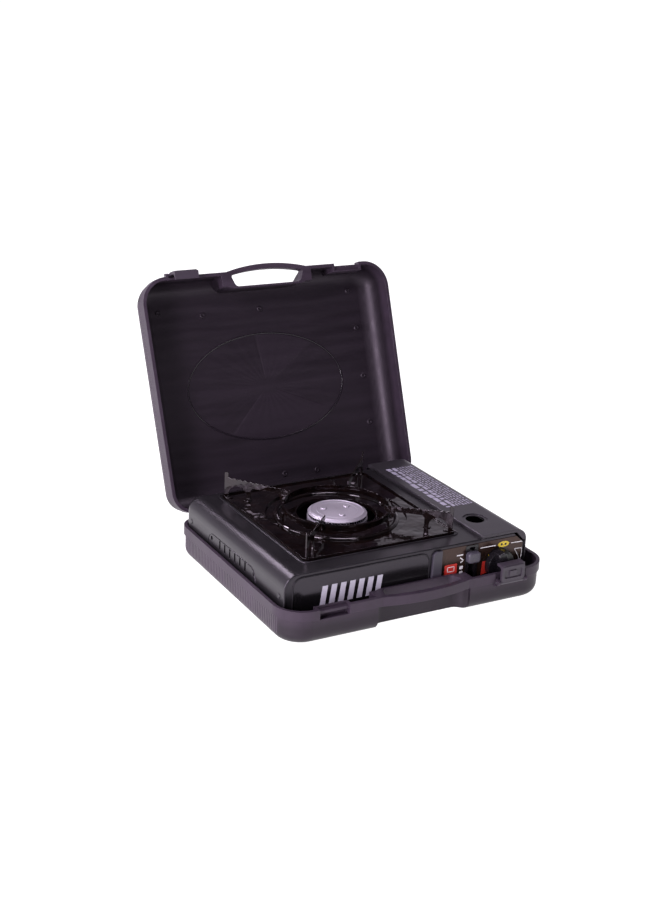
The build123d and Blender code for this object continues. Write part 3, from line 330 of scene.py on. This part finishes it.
def softbox(name, at, look, size, power):
    """Rectangular lamp at a point, turned to look at another; metres and watts."""
    data = bpy.data.lights.new(name, "AREA")
    data.shape = "RECTANGLE"
    data.size, data.size_y = size
    data.energy = power
    data.color = LIGHT_TINT
    obj = bpy.data.objects.new(name, data)
    obj.location = at
    obj.rotation_euler = (Vector(look) - Vector(at)).to_track_quat("-Z", "Y").to_euler()
    bpy.context.collection.objects.link(obj)


softbox("key", (-1.9, -0.7, 1.5), (0, 0, 0.1), (0.8, 0.9), 44)
softbox("left_low", (-2.1, -1.15, 0.42), (0, 0.1, 0.15), (0.5, 0.8), 44)
softbox("back_strip", (-0.5, 1.9, 1.9), (0, 0, 0.1), (1.2, 0.3), 26)
softbox("left_top", (-1.5, 0.9, 1.7), (0, 0, 0.1), (0.35, 0.9), 18)
softbox("front_fill", (0.2, -2.4, 1.5), (0, 0, 0.1), (0.6, 0.5), 5)
softbox("top", (0.4, 0.1, 2.3), (0, 0.1, 0), (0.7, 0.7), 18)

# ------------------------------------------------------------------ materials
PLASTIC = (0.028, 0.0195, 0.0305)
CASE_HALF_WIDTH, CASE_DEPTH = 0.1835, 318.5    # half width at the hinge in m, depth in mm
CASE_SPREAD = 3.0                              # each side spreads by this over the depth, in mm
WALL_MIDDLE = 0.0034                           # how far inside that the fluting starts, in m
FLUTE_PITCH, RIB_PITCH = 0.0046, 0.019         # in m


def case_plastic(name, lid):
    """Charcoal moulded plastic: fine grain, fluted outer walls, streaks and rays inside the lid,
    painted shade deep inside the case.
    """
    s = Shader(name, Roughness=0.55, Specular_IOR_Level=0.4, Specular_Tint=(0.98, 0.86, 1.0, 1))
    x = s.math("SUBTRACT", s.dot(s.coords, (1, 0, 0)), HINGE.x * MM)
    into = INTO_LID if lid else Vector((0, 0, -1))
    away = UP_LID if lid else Vector((0, -1, 0))
    hinge = HINGE * MM
    u = s.math("SUBTRACT", s.dot(s.coords, tuple(away)), away.dot(hinge))
    depth = s.math("SUBTRACT", s.dot(s.coords, tuple(into)), into.dot(hinge))
    # outer side walls: beyond the middle of the wall, below the band
    half = s.math("ADD", s.math("MULTIPLY", u, CASE_SPREAD / CASE_DEPTH),
                  CASE_HALF_WIDTH - WALL_MIDDLE)
    outside = s.ramp(s.math("SUBTRACT", s.math("ABSOLUTE", x), half), 0.0, 0.0006)
    below = s.ramp(depth, 0.0122, 0.0135)
    flutes = s.math("SINE", s.math("MULTIPLY", u, 2 * math.pi / FLUTE_PITCH))
    flute_side = s.math("MULTIPLY", flutes, s.math("MULTIPLY", outside, below))
    grain = s.noise(1500, 3, 0.6)
    streaks = s.noise(9, 5, 0.62, stretch=(0.55, 9, 9) if lid else (4, 4, 0.6))
    blotch = s.noise(26, 4, 0.6)
    tone = s.math("MULTIPLY_ADD", streaks, 0.55, s.math("MULTIPLY", blotch, 0.3))
    layers = [(grain, 0.16, 0.0003), (blotch, 0.1, 0.0006), (flute_side, 0.55, 0.0007)]
    dark = rgb(*(c * 0.7 for c in PLASTIC))
    light = rgb(*(c * 1.4 for c in PLASTIC))
    if lid:
        floor_mask = s.math("MULTIPLY", s.ramp(depth, 0.0425, 0.0435),
                            s.ramp(depth, 0.0455, 0.0465, 1.0, 0.0))
        # radius is 1 on the oval's edge
        ex = s.math("DIVIDE", s.math("SUBTRACT", x, OVAL_X * MM), OVAL_A * MM)
        ez = s.math("DIVIDE", s.math("SUBTRACT", u, OVAL_UP * MM), OVAL_B * MM)
        radius = s.math("SQRT", s.math("ADD", s.math("MULTIPLY", ex, ex),
                                       s.math("MULTIPLY", ez, ez)))
        angle = s.math("ARCTAN2", ez, ex)
        wobble = s.math("MULTIPLY", s.noise(14, 2), 1.2)
        turn = s.math("ADD", angle, s.math("MULTIPLY", wobble, 0.03))
        low_fan = s.math("MULTIPLY", s.ramp(turn, -2.12, -2.08),
                         s.ramp(turn, -0.62, -0.58, 1.0, 0.0))
        high_fan = s.math("MULTIPLY", s.ramp(turn, 0.84, 0.88),
                          s.ramp(turn, 1.62, 1.66, 1.0, 0.0))
        fine = s.math("SINE", s.math("MULTIPLY", turn, 34.0))
        rays = s.math("MAXIMUM", low_fan, s.math("MULTIPLY", high_fan, 0.8))
        rays = s.math("ADD", rays, s.math("MULTIPLY", fine, 0.1))
        rays = s.math("MULTIPLY", rays, s.ramp(radius, 0.1, 0.3))
        rays = s.math("MULTIPLY", rays, s.ramp(radius, 0.97, 1.0, 1.0, 0.0))
        rays = s.math("MULTIPLY", rays, floor_mask)
        inside = s.math("MULTIPLY", s.ramp(radius, 0.985, 1.0, 1.0, 0.0), floor_mask)
        layers += [(inside, 0.9, 0.0009), (rays, 0.5, 0.0008)]
        tone = s.math("ADD", tone, s.math("MULTIPLY", rays, 0.3))
        ribs = s.math("SINE", s.math("MULTIPLY", s.math("ADD", u, s.math(
            "MULTIPLY", s.noise(7, 2), 0.03)), 2 * math.pi / RIB_PITCH))
        ribs = s.math("MULTIPLY", ribs, floor_mask)
        layers.append((ribs, 0.2, 0.0007))
        tone = s.math("ADD", tone, s.math("MULTIPLY", ribs, 0.035))
    body = s.mix(s.ramp(tone, 0.28, 0.6), dark, light)
    # painted shade: deeper than 12 to 24 mm in from the rim and away from the outer side walls, the
    # colour is mixed towards near black
    painted_shade_inside = s.math("MULTIPLY", s.ramp(depth, 0.012, 0.024), s.math("SUBTRACT", 1.0, outside))
    s.colour(s.mix(s.math("MULTIPLY", painted_shade_inside, 0.72), body, rgb(0.002, 0.0013, 0.002)))
    s.rough(s.ramp(s.math("ADD", streaks, s.math("MULTIPLY", grain, 0.3)), 0.3, 1.0, 0.36, 0.6))
    s.relief(layers, edge=0.0009)
    return s.mat


def satin_paint(name, level, rough_low, rough_high, peel=0.06):
    """Sprayed satin black on steel: slight orange peel, faint wiping marks."""
    s = Shader(name, Specular_IOR_Level=0.5, Specular_Tint=(0.94, 0.84, 1.0, 1))
    smear = s.noise(11, 4, 0.6, stretch=(1, 3, 1))
    peel_height = s.noise(420, 2, 0.5)
    s.colour(s.mix(smear, rgb(level, level * 0.93, level * 1.06),
                   rgb(level * 1.5, level * 1.4, level * 1.6)))
    s.rough(s.ramp(s.math("ADD", smear, s.math("MULTIPLY", peel_height, 0.4)), 0.3, 1.1,
                   rough_low, rough_high))
    s.relief([(peel_height, peel, 0.0003), (s.noise(16, 1), 0.12, 0.0012)], edge=0.0005)
    return s.mat


def enamel_paint(name):
    """Glossy black-brown vitreous enamel, slightly wavy, browner in random patches."""
    s = Shader(name, Specular_IOR_Level=0.62, Specular_Tint=(1.0, 0.92, 1.0, 1))
    wave = s.noise(38, 2, 0.5)
    tint = s.noise(60, 3, 0.6)
    s.colour(s.mix(s.ramp(tint, 0.35, 0.75), rgb(0.002, 0.0014, 0.0014),
                   rgb(0.007, 0.0035, 0.003)))
    s.rough(s.ramp(s.noise(160, 3, 0.6), 0.3, 0.8, 0.03, 0.1))
    s.relief([(wave, 0.5, 0.0022), (s.noise(300, 2), 0.05, 0.0003)], edge=0.0005)
    return s.mat


def bare_metal(name, base, rough_low, rough_high, grain_scale, metallic=1.0, streak=None):
    """Metal with its working marks: cast skin, plating mottle or brushing."""
    s = Shader(name, Metallic=metallic)
    skin = s.noise(grain_scale, 4, 0.6, stretch=streak)
    patch = s.noise(45, 3, 0.6)
    s.colour(s.mix(patch, rgb(*(c * 0.78 for c in base)), rgb(*base)))
    s.rough(s.ramp(s.math("ADD", skin, s.math("MULTIPLY", patch, 0.5)), 0.35, 1.1,
                   rough_low, rough_high))
    s.relief([(skin, 0.2, 0.0003)], edge=0.0004)
    return s.mat


def moulded(name, base, rough_low, rough_high, grain=1100, tint=(1.0, 1.0, 1.0, 1.0)):
    """Small moulded plastic or rubber piece with a fine grain."""
    s = Shader(name, Specular_Tint=tint)
    skin = s.noise(grain, 3, 0.6)
    patch = s.noise(60, 3, 0.6)
    s.colour(s.mix(patch, rgb(*(c * 0.8 for c in base)), rgb(*(c * 1.15 for c in base))))
    s.rough(s.ramp(skin, 0.3, 0.8, rough_low, rough_high))
    s.relief([(skin, 0.12, 0.0002)], edge=0.0006)
    return s.mat


def print_ink(name, base):
    """Printed ink with slightly uneven cover."""
    s = Shader(name, Roughness=0.4)
    cover = s.noise(700, 3, 0.6)
    s.colour(s.mix(s.ramp(cover, 0.3, 0.7), rgb(*(c * 0.86 for c in base)), rgb(*base)))
    s.relief([(cover, 0.05, 0.0001)])
    return s.mat


mats = {
    "case_lid": case_plastic("case_plastic_lid", True),
    "case_base": case_plastic("case_plastic_base", False),
    "satin": satin_paint("satin_black_paint", 0.006, 0.25, 0.38),
    "front": satin_paint("front_black_paint", 0.004, 0.13, 0.24, 0.03),
    "cover": satin_paint("cover_black_paint", 0.016, 0.3, 0.42),
    "enamel": enamel_paint("black_brown_enamel"),
    "burner": bare_metal("cast_burner_metal", (0.56, 0.52, 0.6), 0.4, 0.6, 500, 0.75),
    "zinc": bare_metal("zinc_plated_steel", (0.55, 0.55, 0.57), 0.25, 0.42, 260, 1.0, (1, 1, 6)),
    "pin": bare_metal("plain_pin_steel", (0.45, 0.45, 0.47), 0.25, 0.4, 600),
    "die_cast": bare_metal("die_cast_alloy", (0.5, 0.5, 0.52), 0.4, 0.6, 420),
    "brass": bare_metal("machined_brass", (0.66, 0.48, 0.2), 0.22, 0.38, 500),
    "latch": moulded("latch_plastic", (0.036, 0.027, 0.04), 0.4, 0.58),
    "ridge": moulded("polished_case_plastic", (0.01, 0.007, 0.011), 0.2, 0.32),
    "knob": moulded("knob_plastic", (0.007, 0.006, 0.008), 0.2, 0.32),
    "cap": moulded("grey_cap_plastic", (0.036, 0.031, 0.044), 0.32, 0.5),
    "lever": moulded("lever_plastic", (0.055, 0.05, 0.068), 0.24, 0.38),
    "label": moulded("brown_label_film", (0.017, 0.0085, 0.006), 0.2, 0.26, 900,
                     (1.0, 0.72, 0.66, 1.0)),
    "rubber": moulded("foot_rubber", (0.02, 0.02, 0.02), 0.7, 0.9, 500),
    "ceramic": moulded("glazed_ceramic", (0.78, 0.76, 0.7), 0.12, 0.22, 300),
    "white_ink": print_ink("pale_ink", (0.5, 0.48, 0.56)),
    "block_ink": print_ink("block_ink", (0.34, 0.32, 0.41)),
    "dark_pin": moulded("blackened_screw", (0.02, 0.018, 0.022), 0.35, 0.5),
    "bright_ink": print_ink("bright_ink", (0.8, 0.8, 0.82)),
    "red_ink": print_ink("red_ink", (0.55, 0.03, 0.02)),
    "yellow_ink": print_ink("yellow_ink", (0.72, 0.55, 0.03)),
}
LOOKS = {
    "case_base": "case_base", "case_lid": "case_lid", "base_latch": "latch", "lid_latch": "latch",
    "case_hinge_pins": "pin", "base_latch_pin": "pin", "lid_latch_pin": "pin",
    "body_shell": "satin", "base_tray": "satin", "front_panel": "satin", "panel_end_cap": "cap",
    "control_label": "label", "rubber_feet": "rubber", "side_screws": "dark_pin",
    "bay_partition": "zinc", "cartridge_cradle": "zinc", "push_plate": "zinc",
    "burner_body": "burner", "burner_cap": "burner", "burner_bracket": "zinc",
    "mixing_tube": "zinc", "regulator_body": "die_cast", "regulator_cap": "die_cast",
    "gas_jet": "brass", "heat_plate": "zinc", "electrode_ceramic": "ceramic",
    "electrode_pin": "pin", "electrode_bracket": "zinc", "igniter_module": "knob",
    "valve_spindle": "brass", "ignition_knob": "knob",
    "lever_guide": "knob", "lock_lever": "lever", "cartridge_cover": "cover",
    "cover_hinge_pins": "pin", "drip_pan": "enamel", "wind_ring": "enamel",
    "pan_support_front_left": "enamel", "pan_support_front_right": "enamel",
    "pan_support_rear_left": "enamel", "pan_support_rear_right": "enamel",
}
for name, obj in nodes.items():
    look = mats[LOOKS[name]]
    if not obj.material_slots:
        obj.data.materials.append(look)
    for slot in obj.material_slots:
        slot.material = look

# ------------------------------------------------------------------ lid interior
LID_FLOOR = 44.5                               # depth of the lid's inner floor behind its rim
bm = bmesh.new()
oval = [on_lid(x, up_lid, LID_FLOOR + 0.1)
        for x, up_lid in ellipse(HINGE.x + OVAL_X, OVAL_UP, OVAL_A, OVAL_B, 160)]
add_tube(bm, oval, 1.2, closed=True)
finish_mesh(bm, "lid_oval_ridge", mats["ridge"], "box_lid")

bm = bmesh.new()
BOSSES = [(152, 280), (158, 226), (158, 157), (158, 90), (12, 35), (63, 34), (9, 266), (-78, 264),
          (-142, 272)]
BOSS_PROFILE = [(4.4, 0), (3.9, 0.9), (3.3, 1.5), (2.0, 1.6), (1.7, 1.0), (0, 0.9)]
for boss_x, boss_up in BOSSES:
    add_lathe(bm, on_lid(boss_x, boss_up, LID_FLOOR + 0.4), -INTO_LID, BOSS_PROFILE, 24)
finish_mesh(bm, "lid_bosses", mats["case_lid"], "box_lid")

# ------------------------------------------------------------------ stove body trim
HEM_Y = FRONT_Y + 0.9
HEM_LOW, HEM_TURN, HEM_TOP = 14.0, 63.5, 80.7  # heights: lower end, start of the corner, top run
HEM_CORNER_X, HEM_CORNER_R = WALL_X + 18, 17.2
bm = bmesh.new()
hem = [(WALL_X + 0.8, HEM_Y, HEM_LOW), (WALL_X + 0.8, HEM_Y, HEM_TURN)]
hem += [(HEM_CORNER_X - HEM_CORNER_R * math.cos(a), HEM_Y, HEM_TURN + HEM_CORNER_R * math.sin(a))
        for a in (math.pi / 2 * i / 14 for i in range(1, 14))]
hem += [(HEM_CORNER_X, HEM_Y, HEM_TOP), (101.0, HEM_Y, HEM_TOP)]
add_tube(bm, hem, 1.15, sides=10)
finish_mesh(bm, "shell_front_hem", mats["satin"], "stove")

bm = bmesh.new()
DECK_BEAD_Z = 81.35
border = [(PAN.x + x, PAN.y + y, DECK_BEAD_Z)
          for x, y in rounded_rect(-109.6, 109.6, -116.2, 116.2, 9)]
add_tube(bm, border, 1.3, closed=True, sides=10)
finish_mesh(bm, "deck_bead", mats["satin"], "stove")

bm = bmesh.new()
vent = [(WALL_X + 0.1, y, z) for y, z in
        ((69, 36), (66, 50), (62, 56.5), (56, 59.5), (-54, 59.5), (-60, 56.5), (-64, 50), (-66, 36))]
add_tube(bm, vent, 0.8, sides=8)
finish_mesh(bm, "vent_border", mats["satin"], "stove")

bm = bmesh.new()
add_plate(bm, [(x, PANEL_Y + 0.05, z) for x, z in rounded_rect(-157, 27, 17, 75, 11)],
          (0, -1, 0), 0.4)
finish_mesh(bm, "front_gloss_field", mats["front"], "stove")
bm = bmesh.new()
add_tube(bm, [(x, PANEL_Y - 0.1, z) for x, z in rounded_rect(-158, 28, 16, 76, 12)], 1.0,
         closed=True)
finish_mesh(bm, "front_field_border", mats["satin"], "stove")

# generic slanted bars where the front is printed
BAR_Y = PANEL_Y - 0.3
BAR_START, BAR_PITCH, BAR_WIDTH, BAR_SLANT = -122, 12.4, 7.2, 3.2
BAR_LOW, BAR_HIGH = 36, 60
bm = bmesh.new()
for i in range(7):
    x0 = BAR_START + BAR_PITCH * i
    add_plate(bm, [(x0, BAR_Y, BAR_LOW), (x0 + BAR_WIDTH, BAR_Y, BAR_LOW),
                   (x0 + BAR_WIDTH + BAR_SLANT, BAR_Y, BAR_HIGH), (x0 + BAR_SLANT, BAR_Y, BAR_HIGH)],
              (0, -1, 0), 0.25)
finish_mesh(bm, "front_bars", mats["white_ink"], "stove")

# ------------------------------------------------------------------ burner trim
bm = bmesh.new()
add_tube(bm, level_ring(BURNER, 33.2, 87.15, 96), 0.9, closed=True)
add_tube(bm, level_ring(BURNER, 26, 87.3, 96), 0.45, closed=True)
finish_mesh(bm, "burner_cap_rings", mats["burner"], "stove")

# dark plates on the burner's side, one at each gas port: painted shade standing in for the port
# openings
PORTS, PORT_HALF_WIDTH = 62, 1.05
PORT_LOW, PORT_HIGH = Vector((0, 0, 80.9)), Vector((0, 0, 83.9))
bm = bmesh.new()
for i in range(PORTS):
    a = 2 * math.pi * i / PORTS
    out = Vector((math.cos(a), math.sin(a), 0))
    side = Vector((-out.y, out.x, 0)) * PORT_HALF_WIDTH
    foot = BURNER + out * (BURNER_R + 0.02)
    add_plate(bm, [foot - side + PORT_LOW, foot + side + PORT_LOW,
                   foot + side + PORT_HIGH, foot - side + PORT_HIGH], out, 0.15)
finish_mesh(bm, "burner_port_painted_shade", mats["knob"], "stove")
bm = bmesh.new()
for profile in ([(-2, 84.3), (0.9, 84.4), (1.1, 85.1), (0.4, 85.8), (-2, 85.9)],
                [(-2, 77.6), (1.5, 77.7), (1.7, 79.2), (0.6, 80.2), (-2, 80.3)]):
    add_lathe(bm, BURNER, (0, 0, 1), [(BURNER_R + grow, z) for grow, z in profile], 96)
finish_mesh(bm, "burner_side_rings", mats["burner"], "stove")

# pressed ring round the burner hole, a dish in each corner and one at each side
DISH_Z = DECK + 0.9
CORNER_DISH = [(17.5, 0), (15.5, 1.2), (13, 1.7), (10.5, 1.2), (8, 0.4), (0, 0.2)]
SIDE_DISH = [(12.5, 0), (10.5, 1.3), (8, 1.7), (4, 1.2), (0, 1.1)]
bm = bmesh.new()
add_tube(bm, level_ring(PAN, 76, DECK + 1.6, 120), 3.4, closed=True, sides=16, flat=0.55)
for sx in (-1, 1):
    for sy in (-1, 1):
        add_lathe(bm, (PAN.x + 86 * sx, PAN.y + 90 * sy, DISH_Z), (0, 0, 1), CORNER_DISH, 48)
    add_lathe(bm, (PAN.x + 92 * sx, PAN.y, DISH_Z), (0, 0, 1), SIDE_DISH, 40)
finish_mesh(bm, "pan_basin_bead", mats["enamel"], "pan_set")

# ------------------------------------------------------------------ control label marks
Y_INK = LABEL_Y + 0.02


def ink(bm, outline, lift=0.12):
    """Raised flat patch on the label, from x, z points."""
    add_plate(bm, [(x, Y_INK, z) for x, z in outline], (0, -1, 0), lift)


def stroke(bm, points, width, lift=0.14):
    """Line of a given width on the label, along x, z points."""
    for (x0, z0), (x1, z1) in zip(points, points[1:]):
        run = Vector((x1 - x0, z1 - z0))
        side = Vector((-run.y, run.x)).normalized() * width / 2
        ink(bm, [(x0 + side.x, z0 + side.y), (x1 + side.x, z1 + side.y),
                 (x1 - side.x, z1 - side.y), (x0 - side.x, z0 - side.y)], lift)


bm = bmesh.new()
ink(bm, rounded_rect(50.5, 68.5, 41, 55, 1))
ink(bm, [(106.5, 50.5), (115.4, 50.5), (113.4, 34), (105, 32.5)])
finish_mesh(bm, "label_red", mats["red_ink"], "stove")
bm = bmesh.new()
ink(bm, [(51, 37.6), (68.5, 37.6), (68.5, 41), (51, 41)])
ink(bm, ellipse(136.5, 68.8, 8.4, 3.9))
stroke(bm, [(126, 62.8), (116, 55.6)], 1.8)
ink(bm, [(112.4, 53.0), (118.6, 54.4), (115.2, 58.6)], 0.14)
finish_mesh(bm, "label_yellow", mats["yellow_ink"], "stove")
bm = bmesh.new()
stroke(bm, [(102, 69.3), (125, 69.0)], 1.0)
stroke(bm, [(148.5, 68.4), (165, 67.9)], 1.0)
stroke(bm, [(154, 59.6), (165.2, 58.9), (165.2, 44.5), (161.4, 44.0), (161.4, 47.6),
            (154, 59.6)], 0.9)
stroke(bm, [(67.5, 65.2), (76.5, 65.0)], 1.6)
stroke(bm, [(72.5, 61.5), (77.5, 57.5), (73.5, 55.0)], 1.3)
for k in range(3):
    ink(bm, rounded_rect(72.5, 77.5, 46 - 7 * k, 50.5 - 7 * k, 1.2), 0.13)
finish_mesh(bm, "label_white", mats["bright_ink"], "stove")
bm = bmesh.new()
ink(bm, ellipse(133.6, 68.9, 1.7, 1.5, 20), 0.16)
ink(bm, ellipse(139.4, 68.7, 1.7, 1.5, 20), 0.16)
finish_mesh(bm, "label_inner_marks", mats["label"], "stove")
bm = bmesh.new()
stroke(bm, [(55, 45.5), (64.5, 45.5), (64.5, 51.5), (55, 51.5), (55, 45.0)], 1.0, 0.17)
finish_mesh(bm, "label_pale_square", mats["bright_ink"], "stove")

# ------------------------------------------------------------------ pale print block on the cover
PRINT_Z = COVER_TOP - 0.05
PRINT_START, PRINT_END, LOWEST = 108.0, -38, -41
bm = bmesh.new()
rng = random.Random(7)
# each row: x of its left edge, width, gap measure, longest run
rows = [(113.5, 7.0, 10, 16), (122.5, 6.0, 6, 14), (130.5, 2.2, 4, 9), (134.8, 2.2, 4, 10),
        (139.2, 2.2, 3, 8), (143.6, 2.2, 4, 9), (148.0, 2.2, 4, 10), (152.2, 2.2, 3, 7)]
for x0, width, gap, longest in rows:
    y = PRINT_START
    while y > PRINT_END:
        run = rng.uniform(0.35, 1.0) * longest
        low = max(y - run, LOWEST)
        inset = width * rng.uniform(0.0, 0.28)
        slant = rng.uniform(-1.2, 1.2)
        add_plate(bm, [(x0 + inset, y, PRINT_Z), (x0 + width, y + slant, PRINT_Z),
                       (x0 + width, low + slant, PRINT_Z), (x0 + inset, low, PRINT_Z)],
                  (0, 0, 1), 0.17)
        y = low - rng.uniform(1.8, 1.8 + 0.3 * gap)
finish_mesh(bm, "cover_print_bars", mats["block_ink"], "cover")
